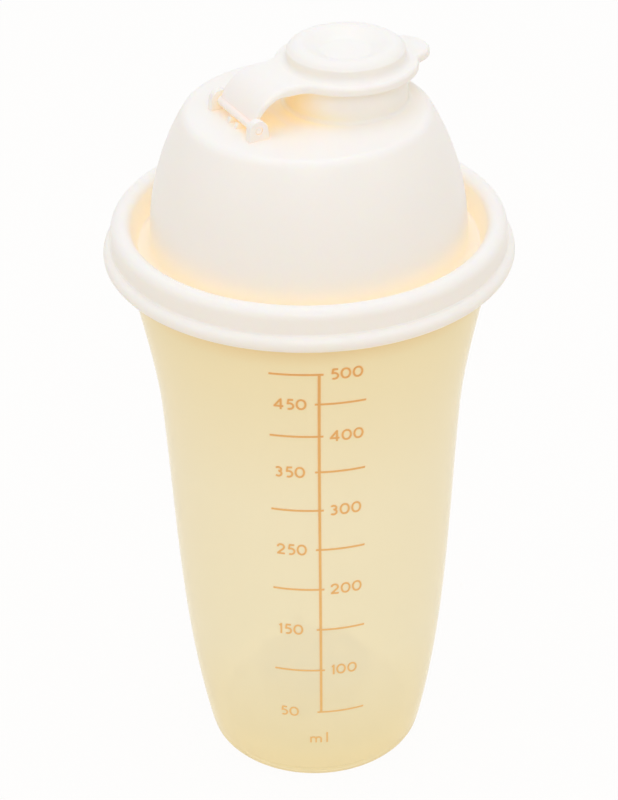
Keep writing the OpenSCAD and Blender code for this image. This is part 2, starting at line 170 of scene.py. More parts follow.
class LidSizes(bpy.types.PropertyGroup):
    """Sizes of the lid, its spout and its hinge ears"""
    seat_gap: length("Seat gap", 0.3, "Gap between the lid and the tumbler's rim")
    wall: length("Wall", 1.4, "Thickness of the lid's wall")
    top_bead_r: length("Top bead", 2.6, "Radius of the top bead")
    low_bead_r: length("Low bead", 2, "Radius of the wider lower bead")
    skirt_drop: length("Skirt drop", 8.7, "Height of the lower edge below the tumbler's rim")
    trough_drop: length("Trough drop", 5.6, "Depth of the trough's floor below the tumbler's rim")
    trough_lean: length("Trough lean", 1.2, "How far the trough's outer wall leans in")
    trough_round: length("Trough rounding", 0.5, "Rounding at the trough's outer wall")
    trough_flat: length("Trough flat", 0.2, "Width of the trough's flat floor")
    dome_inset: length("Dome inset", 3.3, "How far the dome stands in from the trough's outer wall")
    dome_bow_r: length("Dome bow", 63, "Radius of the bow in the dome's side")
    dome_rise: length("Dome rise", 30.3, "Height of the dome's top above the tumbler's rim")
    dome_round: length("Dome rounding", 3, "Rounding of the dome's upper edge")
    turned: turn("Turn", 25, "How far the hinge and the spout are turned about the axis")
    spout_x: length("Spout place", 10.65, "Distance of the spout from the axis")
    spout_r: length("Spout radius", 15, "Outer radius of the spout")
    spout_wall: length("Spout wall", 1.6, "Thickness of the spout's wall")
    spout_h: length("Spout height", 7.95, "Height of the spout above the dome")
    spout_fillet: length("Spout fillet", 1.1, "Rounding at the spout's foot")
    hinge_x: length("Hinge place", 18.4, "Distance of the hinge pins from the axis")
    pin_rise: length("Pin rise", 2.5, "Height of the pins above the dome")
    pin_r: length("Pin radius", 0.9, "Radius of the pins")
    pin_clearance: length("Pin clearance", 0.05, "Clearance between a pin and its hole")
    ear_gap: length("Ear gap", 0.3, "Gap between the bar and the ears")
    ear_t: length("Ear thickness", 1.9, "Thickness of an ear")
    ear_r: length("Ear radius", 2.4, "Radius of an ear's round top")
    ear_foot: length("Ear foot", 2.6, "Reach of an ear's foot to each side")
    rest_w: length("Rest width", 1.4, "Width of a rest below the bar")
    rest_y: length("Rest place", 1.9, "Distance of a rest from the middle of the bar")
    rest_hug: length("Rest hug", 0.25, "How far a rest reaches up at the sides of the bar")
    rest_reach: length("Rest reach", 2, "Reach of a rest to each side of the pin")


class CapSizes(bpy.types.PropertyGroup):
    """Sizes of the flip cap, its strap and its bar"""
    gap: length("Gap", 0.2, "Gap between the spout's mouth and the flange")
    flange_over: length("Flange", 2.5, "How far the flange reaches past the spout")
    flange_t: length("Flange thickness", 2.2, "Thickness of the flange")
    edge_top: length("Upper edge", 1.0, "Rounding of the flange's upper edge")
    edge_low: length("Lower edge", 0.4, "Rounding of the flange's lower edge")
    ring_in: length("Ring inset", 0.7, "How far the ring stands in from the spout's outer face")
    bow_r: length("Bow radius", 3.7, "Radius of the ring's bowed shoulder")
    bow_slope: turn("Bow slope", 55, "Slope of the shoulder where it meets the cap's side")
    ring_flat: length("Ring flat", 0.8, "Width of the ring's flat part between the shoulder and the dish")
    side_h: length("Side height", 1.2, "Height of the cap's upright side below the shoulder")
    cove: length("Cove", 1.5, "Radius of the cove between the cap's side and the flange")
    dish_depth: length("Dish depth", 2.1, "Depth of the dish")
    dish_flat_r: length("Dish flat", 6, "Radius of the dish's flat middle")
    wall: length("Wall", 1.4, "Thickness of the cap's wall")
    plug_depth: length("Plug depth", 2.5, "Depth of the plug in the spout")
    plug_gap: length("Plug gap", 0.25, "Gap between the plug and the bore")
    plug_taper: length("Plug taper", 1.2, "How much the plug narrows to its end")
    tab_out: length("Tab", 4.6, "How far the thumb tab reaches past the flange")
    tab_tip_r: length("Tab tip", 7, "Radius of the thumb tab's tip")
    tab_fillet: length("Tab fillet", 3, "Rounding beside the thumb tab")
    bar_r: length("Bar radius", 1.25, "Radius of the bar")
    strap_w: length("Strap width", 17.6, "Width of the strap")
    strap_t: length("Strap thickness", 1.6, "Thickness of the strap")
    strap_bend_r: length("Strap bend", 8.5, "Radius of the strap's inner bend")
    strap_fillet: length("Strap fillet", 5, "Rounding in plan between the strap and the flange")
    strap_lift: length("Strap lift", 0.3, "Height of the strap's underside above the flange's")


class WheelSizes(bpy.types.PropertyGroup):
    """Sizes of the loose mixing wheel"""
    radius: length("Radius", 15.5, "Outer radius of the ring")
    height: length("Height", 14, "Height of the wheel")
    ring_h: length("Ring height", 4, "Height of the ring")
    ring_t: length("Ring thickness", 1.6, "Thickness of the ring")
    hub_r: length("Hub radius", 3.4, "Radius of the hub")
    hub_hole_r: length("Hub hole", 1.8, "Radius of the hole through the hub")
    fin_count: bpy.props.IntProperty(name="Fins", description="Number of fins", default=6, min=3, max=12)
    fin_t: length("Fin thickness", 1.4, "Thickness of a fin")
    fin_slant: turn("Fin slant", 24, "Slant of the fins")
    gap: length("Gap", 0.2, "Gap between the resting wheel and the floor")


class Finishes(bpy.types.PropertyGroup):
    """Colours of the plastics, the ink and the stage, and of the painted shade and painted light on the
    plastics
    """
    milky: paint("Milky plastic", (0.99, 0.94, 0.70), "Colour of the tumbler's plastic")
    # deeper towards the foot; towards the mouth it is painted shade below the lid's edge
    milky_deep: paint("Deep milky", (0.97, 0.885, 0.58), "Colour of the milky plastic at its foot and mouth")
    # painted warm shade on the tumbler's wall below the lid's edge
    milky_glow: paint("Milky glow", (1.0, 0.72, 0.34), "Colour of the milky plastic under the lid's edge")
    lining: paint("Lining", (1.0, 0.98, 0.92), "Colour of the tumbler's inner face")
    lining_deep: paint("Deep lining", (0.985, 0.965, 0.90), "Colour of the clouds in the inner face")
    cream: paint("Cream plastic", (0.97, 0.95, 0.92), "Colour of the lid and the cap")
    # painted warm shade of the cream plastic in its hollows
    cream_glow: paint("Cream glow", (1.0, 0.88, 0.68), "Colour of the cream plastic in its hollows")
    # painted light: a glow in the hollows
    hollow_light: paint("Hollow light", (0.08, 0.07, 0.055), "Light that comes through into the hollows")
    # painted warm shade and painted light below the strap
    pocket: paint("Pocket", (1.0, 0.70, 0.09), "Colour of the cream plastic in the pocket below the strap")
    pocket_light: paint("Pocket light", (0.33, 0.20, 0.0), "Light that comes through into the pocket")
    ink_low: paint("Low ink", (0.96, 0.65, 0.26), "Colour of the scale near the foot, where the ink is thin")
    ink: paint("Ink", (0.86, 0.46, 0.15), "Colour of the scale")
    wheel: paint("Wheel plastic", (0.62, 0.46, 0.09), "Colour of the mixing wheel")
    floor: paint("Floor", (0.92, 0.83, 0.71), "Colour of the floor")


GROUPS = {"jug_tumbler": TumblerSizes, "jug_lid": LidSizes, "jug_cap": CapSizes,
          "jug_wheel": WheelSizes, "jug_finish": Finishes}


class Form:
    """Places that follow from the sizes that a user sets."""

    def __init__(self, scene):
        t, l, c = scene.jug_tumbler, scene.jug_lid, scene.jug_cap
        self.t, self.l, self.c, self.w = t, l, c, scene.jug_wheel
        self.base_r = t.foot_r + t.base_step
        self.bead_r = t.wall / 2 + t.rim_bead_over
        self.bead_x = t.mouth_r - t.wall / 2
        self.bead_z = t.height - self.bead_r
        # the lid's rim and dome
        self.channel_in = self.bead_x - self.bead_r - l.seat_gap
        self.channel_out = self.bead_x + self.bead_r + l.seat_gap
        self.channel_z = t.height + l.seat_gap
        self.band_r = self.channel_out + l.wall
        self.top_bead_x = self.band_r - l.top_bead_r
        self.top_bead_z = self.channel_z + l.wall - l.top_bead_r
        self.low_bead_z = t.height - l.skirt_drop + l.low_bead_r
        self.trough_z = t.height - l.trough_drop
        self.trough_out = self.top_bead_x - l.top_bead_r - l.trough_lean
        self.trough_in = self.trough_out - l.trough_round - l.trough_flat
        self.plug_wall_r = self.trough_out + l.wall
        self.lid_low_z = self.trough_z - l.wall
        self.dome_r = self.trough_out - l.dome_inset
        self.dome_fillet = self.trough_in - self.dome_r
        self.dome_foot_z = self.trough_z + self.dome_fillet
        self.dome_top = t.height + l.dome_rise
        self.bow_x = self.dome_r - l.dome_bow_r
        self.edge_z = self.dome_top - l.dome_round
        rise = self.edge_z - self.dome_foot_z
        self.edge_x = self.bow_x + math.sqrt((l.dome_bow_r - l.dome_round) ** 2 - rise ** 2)
        self.bow_end = math.degrees(math.atan2(rise, self.edge_x - self.bow_x))
        # the spout and the cap on it
        self.bore_r = l.spout_r - l.spout_wall
        self.spout_foot_r = l.spout_r + l.spout_fillet
        self.spout_top = self.dome_top + l.spout_h
        self.flange_z = self.spout_top + c.gap
        self.flange_r = l.spout_r + c.flange_over
        self.flange_top = self.flange_z + c.flange_t
        self.cap_edge = self.flange_top + c.cove + c.side_h
        self.cap_top = self.cap_edge + c.bow_r * (1 - math.cos(c.bow_slope))
        self.ring_r = l.spout_r - c.ring_in
        self.cove_r = self.ring_r + c.cove
        self.dish_z = self.cap_top - c.dish_depth
        self.cap_bow_x = self.ring_r - c.bow_r * math.sin(c.bow_slope)
        self.dish_rim_r = self.cap_bow_x - c.ring_flat
        self.plug_r = self.bore_r - c.plug_gap
        # the hinge
        self.pin_z = self.dome_top + l.pin_rise
        self.ear_in = c.strap_w / 2 + l.ear_gap
        self.ear_out = self.ear_in + l.ear_t
        self.scoop_r = c.bar_r + l.seat_gap
        self.rest_h = l.pin_rise - self.scoop_r + l.rest_hug
        self.strap_z = self.flange_z + c.strap_lift
        self.bend_z = self.strap_z - c.strap_bend_r
        self.bend_mid_r = c.strap_bend_r + c.strap_t / 2
        self.bend_x = -l.hinge_x + math.sqrt(self.bend_mid_r ** 2 - (self.pin_z - self.bend_z) ** 2)
        self.bend_angle = math.pi / 2 - math.asin((self.pin_z - self.bend_z) / self.bend_mid_r)

    def wall_r(self, z):
        """Outer radius of the tumbler's wall at a height."""
        t = self.t
        if z < t.waist_z:
            low, high, r0, r1 = t.foot_h, t.waist_z, self.base_r, t.waist_r
            lean0, lean1 = t.base_lean, t.waist_lean
        else:
            low, high, r0, r1 = t.waist_z, t.height, t.waist_r, t.mouth_r
            lean0, lean1 = t.waist_lean, t.mouth_lean
        h = high - low
        s = (z - low) / h
        return ((1 - 3 * s ** 2 + 2 * s ** 3) * r0 + (s - 2 * s ** 2 + s ** 3) * h * lean0
                + (3 * s ** 2 - 2 * s ** 3) * r1 + (s ** 3 - s ** 2) * h * lean1)

    def inside_r(self, z):
        """Radius of the tumbler's inside at a height."""
        t = self.t
        below = min(max(0.0, t.floor_z + t.floor_round - z), t.floor_round)
        return self.wall_r(z) - t.wall - t.floor_round + math.sqrt(t.floor_round ** 2 - below ** 2)

    def mark_z(self, ml, slice_h=0.25 * MM):
        """Height at which the tumbler holds a number of millilitres."""
        z, left = self.t.floor_z, ml * 1e-6
        while left > 0:
            area = math.pi * self.inside_r(z + slice_h / 2) ** 2
            if area * slice_h > left:
                return z + left / area
            left -= area * slice_h
            z += slice_h
        return z


def only(geom, kind):
    """The elements of one kind."""
    return [g for g in geom if isinstance(g, kind)]


def welded(bm, reach=MERGE):
    """Joins the points that meet."""
    bmesh.ops.remove_doubles(bm, verts=bm.verts[:], dist=reach)
    return bm


def outward(bm):
    """Turns the faces outward."""
    bmesh.ops.recalc_face_normals(bm, faces=bm.faces[:])
    return bm


def filled(bm, edges):
    """Fills the area between loops of edges and gives the new faces."""
    made = bmesh.ops.triangle_fill(bm, use_beauty=True, use_dissolve=False, edges=edges)
    return only(made["geom"], bmesh.types.BMFace)


class Section:
    """A line in the XZ plane drawn by moving and turning its end, then filled, pulled or spun."""

    def __init__(self, x, z):
        self.bm = bmesh.new()
        self.tip = self.bm.verts.new((x, 0, z))

    def line(self, *points):
        """Straight lines to points."""
        for x, z in points:
            end = self.bm.verts.new((x, 0, z))
            self.bm.edges.new((self.tip, end))
            self.tip = end
        return self

    def arc(self, x, z, degrees, steps):
        """An arc of the end about a point."""
        made = bmesh.ops.spin(self.bm, geom=[self.tip], cent=(x, 0, z), axis=(0, -1, 0),
                              angle=math.radians(degrees), steps=steps)
        self.tip = only(made["geom_last"], bmesh.types.BMVert)[0]
        return self

    def spun(self, steps=ROUND_STEPS):
        """The surface that the line makes when it is turned once about Z."""
        bmesh.ops.spin(self.bm, geom=self.bm.verts[:] + self.bm.edges[:], cent=(0, 0, 0), axis=(0, 0, 1),
                       angle=math.tau, steps=steps, use_merge=True)
        return outward(welded(self.bm))

    def plate(self, thickness):
        """The closed outline filled and pulled along Y."""
        welded(self.bm)
        face = bmesh.ops.contextual_create(self.bm, geom=self.bm.edges[:])["faces"][0]
        made = bmesh.ops.extrude_face_region(self.bm, geom=[face])
        far = only(made["geom"], bmesh.types.BMVert)
        bmesh.ops.translate(self.bm, verts=far, vec=(0, thickness, 0))
        return outward(self.bm)


class Brush:
    """A stroke of even width in the XY plane, drawn by pulling and turning its end edge."""

    def __init__(self, bm, width):
        self.bm, self.width = bm, width

    def at(self, x, y, heading):
        """Sets the brush down at a place, with a heading in degrees."""
        self.place, self.heading = Vector((x, y, 0)), math.radians(heading)
        side = self.side() * self.width / 2
        ends = [self.bm.verts.new(self.place + side), self.bm.verts.new(self.place - side)]
        self.tip = [*ends, self.bm.edges.new(ends)]
        return self

    def ahead(self):
        return Vector((math.cos(self.heading), math.sin(self.heading), 0))

    def side(self):
        return Vector((-math.sin(self.heading), math.cos(self.heading), 0))

    def go(self, distance, steps=1):
        """A straight stroke ahead."""
        for _ in range(steps):
            made = bmesh.ops.extrude_edge_only(self.bm, edges=only(self.tip, bmesh.types.BMEdge))
            verts = only(made["geom"], bmesh.types.BMVert)
            edges = [e for e in only(made["geom"], bmesh.types.BMEdge) if all(v in verts for v in e.verts)]
            bmesh.ops.translate(self.bm, verts=verts, vec=self.ahead() * distance / steps)
            self.tip = verts + edges
        self.place = self.place + self.ahead() * distance
        return self

    def to(self, x, y):
        """A straight stroke from the last place to a point."""
        end = Vector((x, y, 0))
        way = end - self.place
        return self.at(self.place.x, self.place.y, math.degrees(math.atan2(way.y, way.x))).go(way.length)

    def bow(self, radius, degrees, steps=8):
        """A turn to the left, or with negative degrees to the right."""
        middle = self.place + self.side() * math.copysign(radius, degrees)
        made = bmesh.ops.spin(self.bm, geom=self.tip, cent=middle, axis=(0, 0, 1),
                              angle=math.radians(degrees), steps=steps)
        self.tip = [g for g in made["geom_last"] if not isinstance(g, bmesh.types.BMFace)]
        self.place = middle + Matrix.Rotation(math.radians(degrees), 3, "Z") @ (self.place - middle)
        self.heading += math.radians(degrees)
        return self


def joined(*parts):
    """One bmesh from several."""
    whole = bmesh.new()
    for part in parts:
        mesh = bpy.data.meshes.new("part")
        part.to_mesh(mesh)
        part.free()
        whole.from_mesh(mesh)
        bpy.data.meshes.remove(mesh)
    return whole


def moved(bm, x=0.0, y=0.0, z=0.0):
    """Shifts a mesh."""
    bmesh.ops.translate(bm, verts=bm.verts[:], vec=(x, y, z))
    return bm


def turned(bm, angle, axis="Z"):
    """Turns a mesh about an axis through the origin."""
    bmesh.ops.rotate(bm, verts=bm.verts[:], cent=(0, 0, 0), matrix=Matrix.Rotation(angle, 3, axis))
    return bm


def bevelled(bm, edges, size, segments):
    """Rounds edges."""
    bmesh.ops.bevel(bm, geom=edges, offset=size, offset_type="OFFSET", affect="EDGES", segments=segments,
                    profile=0.5, clamp_overlap=True, material=-1)
    return bm


def soften(bm, size, segments):
    """Rounds all sharp edges."""
    sharp = [e for e in bm.edges if e.is_manifold and e.calc_face_angle(0) > SHARP_ANGLE]
    return bevelled(bm, sharp, size, segments)


def thickened(bm, vec):
    """Gives flat faces a thickness."""
    made = bmesh.ops.extrude_face_region(bm, geom=bm.faces[:], use_keep_orig=True)
    bmesh.ops.translate(bm, verts=only(made["geom"], bmesh.types.BMVert), vec=vec)
    return outward(bm)


def inside(bm, faces=None):
    """Gives faces, or all of them, the second material, which is that of a piece's inside."""
    for face in bm.faces if faces is None else faces:
        face.material_index = 1
    return bm


def open_loops(bm, z):
    """The open edges at a height."""
    return [e for e in bm.edges if e.is_boundary and all(abs(v.co.z - z) < 10 * EPS for v in e.verts)]


def linked(bm, name, material):
    """Makes an object of a mesh and puts it in the scene."""
    mesh = bpy.data.meshes.new(name)
    bm.to_mesh(mesh)
    bm.free()
    mesh.materials.append(material)
    obj = bpy.data.objects.new(name, mesh)
    bpy.context.scene.collection.objects.link(obj)
    return obj


def piece(bm, name, material, body, slot, *nodes):
    """Makes the object of a piece, shades it smooth, hangs it on its body's empty and hides the frame's nodes
    that it stands for.
    """
    obj = linked(bm, name, material)
    obj.data.polygons.foreach_set("use_smooth", [True] * len(obj.data.polygons))
    obj.data.set_sharp_from_angle(angle=SMOOTH_ANGLE)
    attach(obj, body)
    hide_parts(*nodes)
    return obj


class Sock:
    """A socket's value in a shader, with the operators that add Math nodes."""

    def __init__(self, shader, socket):
        self.shader, self.socket = shader, socket

    def _math(self, operation, a, b):
        return self.shader.node("ShaderNodeMath", {"operation": operation}, {0: a, 1: b})

    def __add__(self, other):
        return self._math("ADD", self, other)

    def __radd__(self, other):
        return self._math("ADD", other, self)

    def __sub__(self, other):
        return self._math("SUBTRACT", self, other)

    def __rsub__(self, other):
        return self._math("SUBTRACT", other, self)

    def __mul__(self, other):
        return self._math("MULTIPLY", self, other)

    def __rmul__(self, other):
        return self._math("MULTIPLY", other, self)


class Shader:
    """A material's node tree."""

    def __init__(self, owner):
        owner.use_nodes = True
        self.tree = owner.node_tree
        self.tree.nodes.clear()

    def node(self, kind, settings=None, inputs=None, out=0):
        """Adds a node, sets its settings and then the values or links of its sockets."""
        made = self.tree.nodes.new(kind)
        for key, value in (settings or {}).items():
            if key == "stops":
                ramp = made.color_ramp.elements
                while len(ramp) < len(value):
                    ramp.new(1.0)
                for stop, (place, colour) in zip(ramp, value):
                    stop.position, stop.color = place, (*colour, 1.0)
            else:
                setattr(made, key, value)
        for key, value in (inputs or {}).items():
            socket = made.inputs[key]
            if isinstance(value, Sock):
                self.tree.links.new(value.socket, socket)
            elif socket.type == "RGBA":
                socket.default_value = (*value[:3], 1.0)
            else:
                socket.default_value = value
        return Sock(self, made.outputs[out])

    def clamped(self, operation, a, b):
        """A sum or a product, kept between nothing and one."""
        return self.node("ShaderNodeMath", {"operation": operation, "use_clamp": True}, {0: a, 1: b})

    def noise(self, scale, detail=3.0, rough=0.55, stretch=(1.0, 1.0, 1.0)):
        """Noise on the piece's own coordinates."""
        coords = self.node("ShaderNodeTexCoord", out="Object")
        placed = self.node("ShaderNodeMapping", None, {"Vector": coords, "Scale": stretch})
        return self.node("ShaderNodeTexNoise", None,
                         {"Vector": placed, "Scale": scale, "Detail": detail, "Roughness": rough})

    def height(self):
        """The height of a point above the table, in metres."""
        coords = self.node("ShaderNodeTexCoord", out="Object")
        return self.node("ShaderNodeSeparateXYZ", None, {0: coords}, out="Z")

    def nearness(self, place, reach):
        """One close to a place, falling to zero at a reach from it."""
        coords = self.node("ShaderNodeTexCoord", out="Object")
        away = self.node("ShaderNodeVectorMath", {"operation": "DISTANCE"}, {0: coords, 1: place},
                         out="Value")
        return self.node("ShaderNodeMapRange", {"interpolation_type": "SMOOTHSTEP"},
                         {"Value": away, "From Min": reach, "From Max": reach / 3})

    def direct_rays(self):
        """One where the eye, a reflection or a see-through wall looks straight at a surface."""
        seen = self.node("ShaderNodeLightPath", out="Is Camera Ray")
        mirrored = self.node("ShaderNodeLightPath", out="Is Glossy Ray")
        through = self.node("ShaderNodeLightPath", out="Is Transmission Ray")
        return self.clamped("ADD", seen + mirrored, through)

    def hollow(self):
        """How far other surfaces close in on a point, from nothing to one."""
        reach = {"Distance": HOLLOW_REACH}
        return 1 - self.node("ShaderNodeAmbientOcclusion", {"samples": 8}, reach, out="AO")

    def ramp(self, factor, *stops):
        """A colour that runs through stops."""
        return self.node("ShaderNodeValToRGB", {"stops": stops}, {0: factor})

    def mix(self, factor, a, b):
        """A colour between two."""
        return self.node("ShaderNodeMix", {"data_type": "RGBA"}, {0: factor, 6: a, 7: b}, out=2)

    def bump(self, height, strength):
        """A fine relief."""
        return self.node("ShaderNodeBump", None,
                         {"Height": height, "Strength": strength, "Distance": 0.2 * MM})

    def plastic(self, inputs):
        """The shader of all the plastics and of the ink."""
        return self.node("ShaderNodeBsdfPrincipled", {"subsurface_method": "RANDOM_WALK"}, inputs)

    def done(self, surface):
        """Ends the tree with its surface."""
        out = self.tree.nodes.new("ShaderNodeOutputMaterial")
        self.tree.links.new(surface.socket, out.inputs["Surface"])


def material(name):
    """A new material and its node tree."""
    made = bpy.data.materials.new(name)
    return made, Shader(made)


def shaded(rgb, factor):
    """A colour made darker or lighter."""
    return tuple(min(1.0, c * factor) for c in rgb)


def milky_plastic(finish, height):
    """Milky translucent plastic with faint flow clouds and a fine satin skin, a tone that deepens towards the
    foot, painted warm shade towards the mouth and where the lid's edge closes in, and a faint painted glow.
    """
    made, s = material("milky_plastic")
    clouds = s.noise(38.0, 3.0, 0.55, (1.0, 1.0, 0.35))
    grain = s.noise(2600.0, 2.0)
    place = (1 / height) * s.height() + 0.03 * (clouds - 0.5)
    pale, deep_painted_shade = finish.milky, finish.milky_deep
    # the tone deepens towards the foot; towards the mouth the deeper tone is painted shade below the lid's
    # edge
    tone = s.ramp(place, (0.05, deep_painted_shade), (0.28, pale), (0.6, pale), (0.95, deep_painted_shade))
    # painted shade: a warm tint where the lid's edge closes in on the wall, growing with height
    colour = s.mix(s.clamped("MULTIPLY", s.hollow(), EDGE_PAINTED_SHADE * place), tone, finish.milky_glow)
    # painted light: the milky plastic glows faintly in its own tone
    s.done(s.plastic({
        "Base Color": colour, "Roughness": 0.08 + 0.04 * clouds, "IOR": 1.05, "Transmission Weight": 0.15,
        "Emission Color": tone, "Emission Strength": 0.055, "Coat Weight": 0.5, "Coat Roughness": 0.32,
        "Normal": s.bump(grain, 0.03)}))
    return made


def clear_lining(finish):
    """The wall's smooth inner face, which lets the milky plastic behind it show."""
    made, s = material("clear_lining")
    clouds = s.noise(38.0, 3.0, 0.55, (1.0, 1.0, 0.35))
    colour = s.mix(clouds, finish.lining_deep, finish.lining)
    s.done(s.plastic({
        "Base Color": colour, "Roughness": 0.12 + 0.05 * clouds, "IOR": 1.05, "Transmission Weight": 0.92,
        "Coat Weight": 0.3, "Coat Roughness": 0.3}))
    return made


def cream_start(name, finish):
    """A cream material: itself, its node tree and the inputs that its outside and inside share."""
    made, s = material(name)
    clouds = s.noise(55.0, 3.0)
    grain = s.noise(2200.0, 2.0)
    return made, s, {
        "Base Color": s.mix(clouds, shaded(finish.cream, 0.99), shaded(finish.cream, 1.01)),
        "Roughness": 0.30 + 0.08 * clouds, "IOR": 1.5,
        "Subsurface Weight": 0.3, "Subsurface Radius": (1.0, 0.7, 0.4), "Subsurface Scale": 1 * MM,
        "Normal": s.bump(grain, 0.05)}


def cream_plastic(finish):
    """Cream moulded plastic, with painted warm shade and a painted glow in its hollows, strongest below the
    strap.
    """
    made, s, inputs = cream_start("cream_plastic", finish)
    hollow = s.hollow()
    # painted shade and glow grow with how far the hollow closes in, most of all near the place below the
    # strap
    deep_painted_shade = hollow * hollow
    pocket = s.clamped("MULTIPLY", deep_painted_shade * hollow, POCKET_PAINTED_GLOW * s.nearness(POCKET, POCKET_R))
    # painted warm shade in the hollows, and a stronger orange one below the strap
    inputs["Base Color"] = s.mix(pocket, s.mix(deep_painted_shade, inputs["Base Color"], finish.cream_glow), finish.pocket)
    # painted light: the hollows glow, and the place below the strap glows more
    inputs["Emission Color"] = s.mix(pocket, s.mix(deep_painted_shade, (0.0, 0.0, 0.0), finish.hollow_light),
                                     finish.pocket_light)
    inputs["Emission Strength"] = 1.0
    s.done(s.plastic(inputs))
    return made


def cream_inside(finish):
    """The same cream plastic on the inside of the lid and of the cap, without the painted shade and glow of
    the outside.
    """
    made, s, inputs = cream_start("cream_inside", finish)
    s.done(s.plastic(inputs))
    return made


def scale_ink(finish, height):
    """Orange screen-printed ink, thinner in places."""
    made, s = material("scale_ink")
    wear = s.noise(420.0, 2.0)
    thin = s.noise(60.0, 2.0)
    colour = s.mix((1 / height) * s.height() + 0.2 * (thin - 0.5), finish.ink_low, finish.ink)
    # painted light: the ink glows faintly in its own colour
    s.done(s.plastic({"Base Color": colour, "Roughness": 0.5 + 0.15 * wear, "Alpha": 0.86 + 0.1 * wear,
                      "Emission Color": colour, "Emission Strength": 0.03}))
    return made


def wheel_plastic(finish):
    """Honey-coloured plastic of the mixing wheel."""
    made, s = material("wheel_plastic")
    clouds = s.noise(90.0, 3.0)
    grain = s.noise(2200.0, 2.0)
    colour = s.mix(clouds, shaded(finish.wheel, 0.97), shaded(finish.wheel, 1.03))
    s.done(s.plastic({"Base Color": colour, "Roughness": 0.42 + 0.1 * clouds, "Normal": s.bump(grain, 0.05)}))
    return made


def floor_paper(finish):
    """White paper: plain white to the eye, with a soft shadow left in."""
    made, s = material("floor_paper")
    fibre = s.noise(35.0, 4.0)
    paper = s.node("ShaderNodeBsdfDiffuse", None, {
        "Color": s.mix(fibre, shaded(finish.floor, 0.995), shaded(finish.floor, 1.005))})
    glow = s.node("ShaderNodeEmission", None, {"Color": (1.0, 1.0, 1.0, 1.0), "Strength": 1.0})
    s.done(s.node("ShaderNodeMixShader", None, {0: FLOOR_GLOW * s.direct_rays(), 1: paper, 2: glow}))
    return made


class JUG_OT_tumbler(bpy.types.Operator):
    """Builds the flared tumbler as one turned shell"""
    bl_idname = "jug.tumbler"
    bl_label = "Tumbler"

    def execute(self, context):
        f = Form(context.scene)
        t = f.t
        foot_in, under = t.foot_r - t.foot_ring_w, t.floor_z - t.floor_t
        edge = FOOT_EDGE
        section = Section(0, under).line((foot_in - edge, under)).arc(foot_in - edge, under - edge, -90, 4)
        section.line((foot_in, edge)).arc(foot_in + edge, edge, 90, 4)
        section.line((t.foot_r - t.foot_round, 0)).arc(t.foot_r - t.foot_round, t.foot_round, 90, 8)
        section.line((t.foot_r, t.foot_h - t.base_step))
        low, high = t.foot_h, f.bead_z
        heights = [low + (high - low) * i / WALL_STEPS for i in range(WALL_STEPS)]
        section.line(*[(f.wall_r(z), z) for z in heights])
        section.line((f.bead_x + f.bead_r, f.bead_z)).arc(f.bead_x, f.bead_z, 180, 10)
        low = t.floor_z + t.floor_round
        lining = Section(f.bead_x - f.bead_r, f.bead_z)
        heights = [high - (high - low) * i / WALL_STEPS for i in range(1, WALL_STEPS)]
        lining.line(*[(f.inside_r(z), z) for z in heights])
        floor_x = f.inside_r(low) - t.floor_round
        lining.line((f.inside_r(low), low)).arc(floor_x, low, -90, 8).line((0, t.floor_z))
        bm = outward(welded(joined(section.spun(), inside(lining.spun()))))
        finish = context.scene.jug_finish
        milky = milky_plastic(finish, t.height)
        shell = piece(bm, "tumbler_shell", milky, "tumbler", "tumbler_plastic", "tumbler")
        shell.data.materials.append(clear_lining(finish))
        return {"FINISHED"}


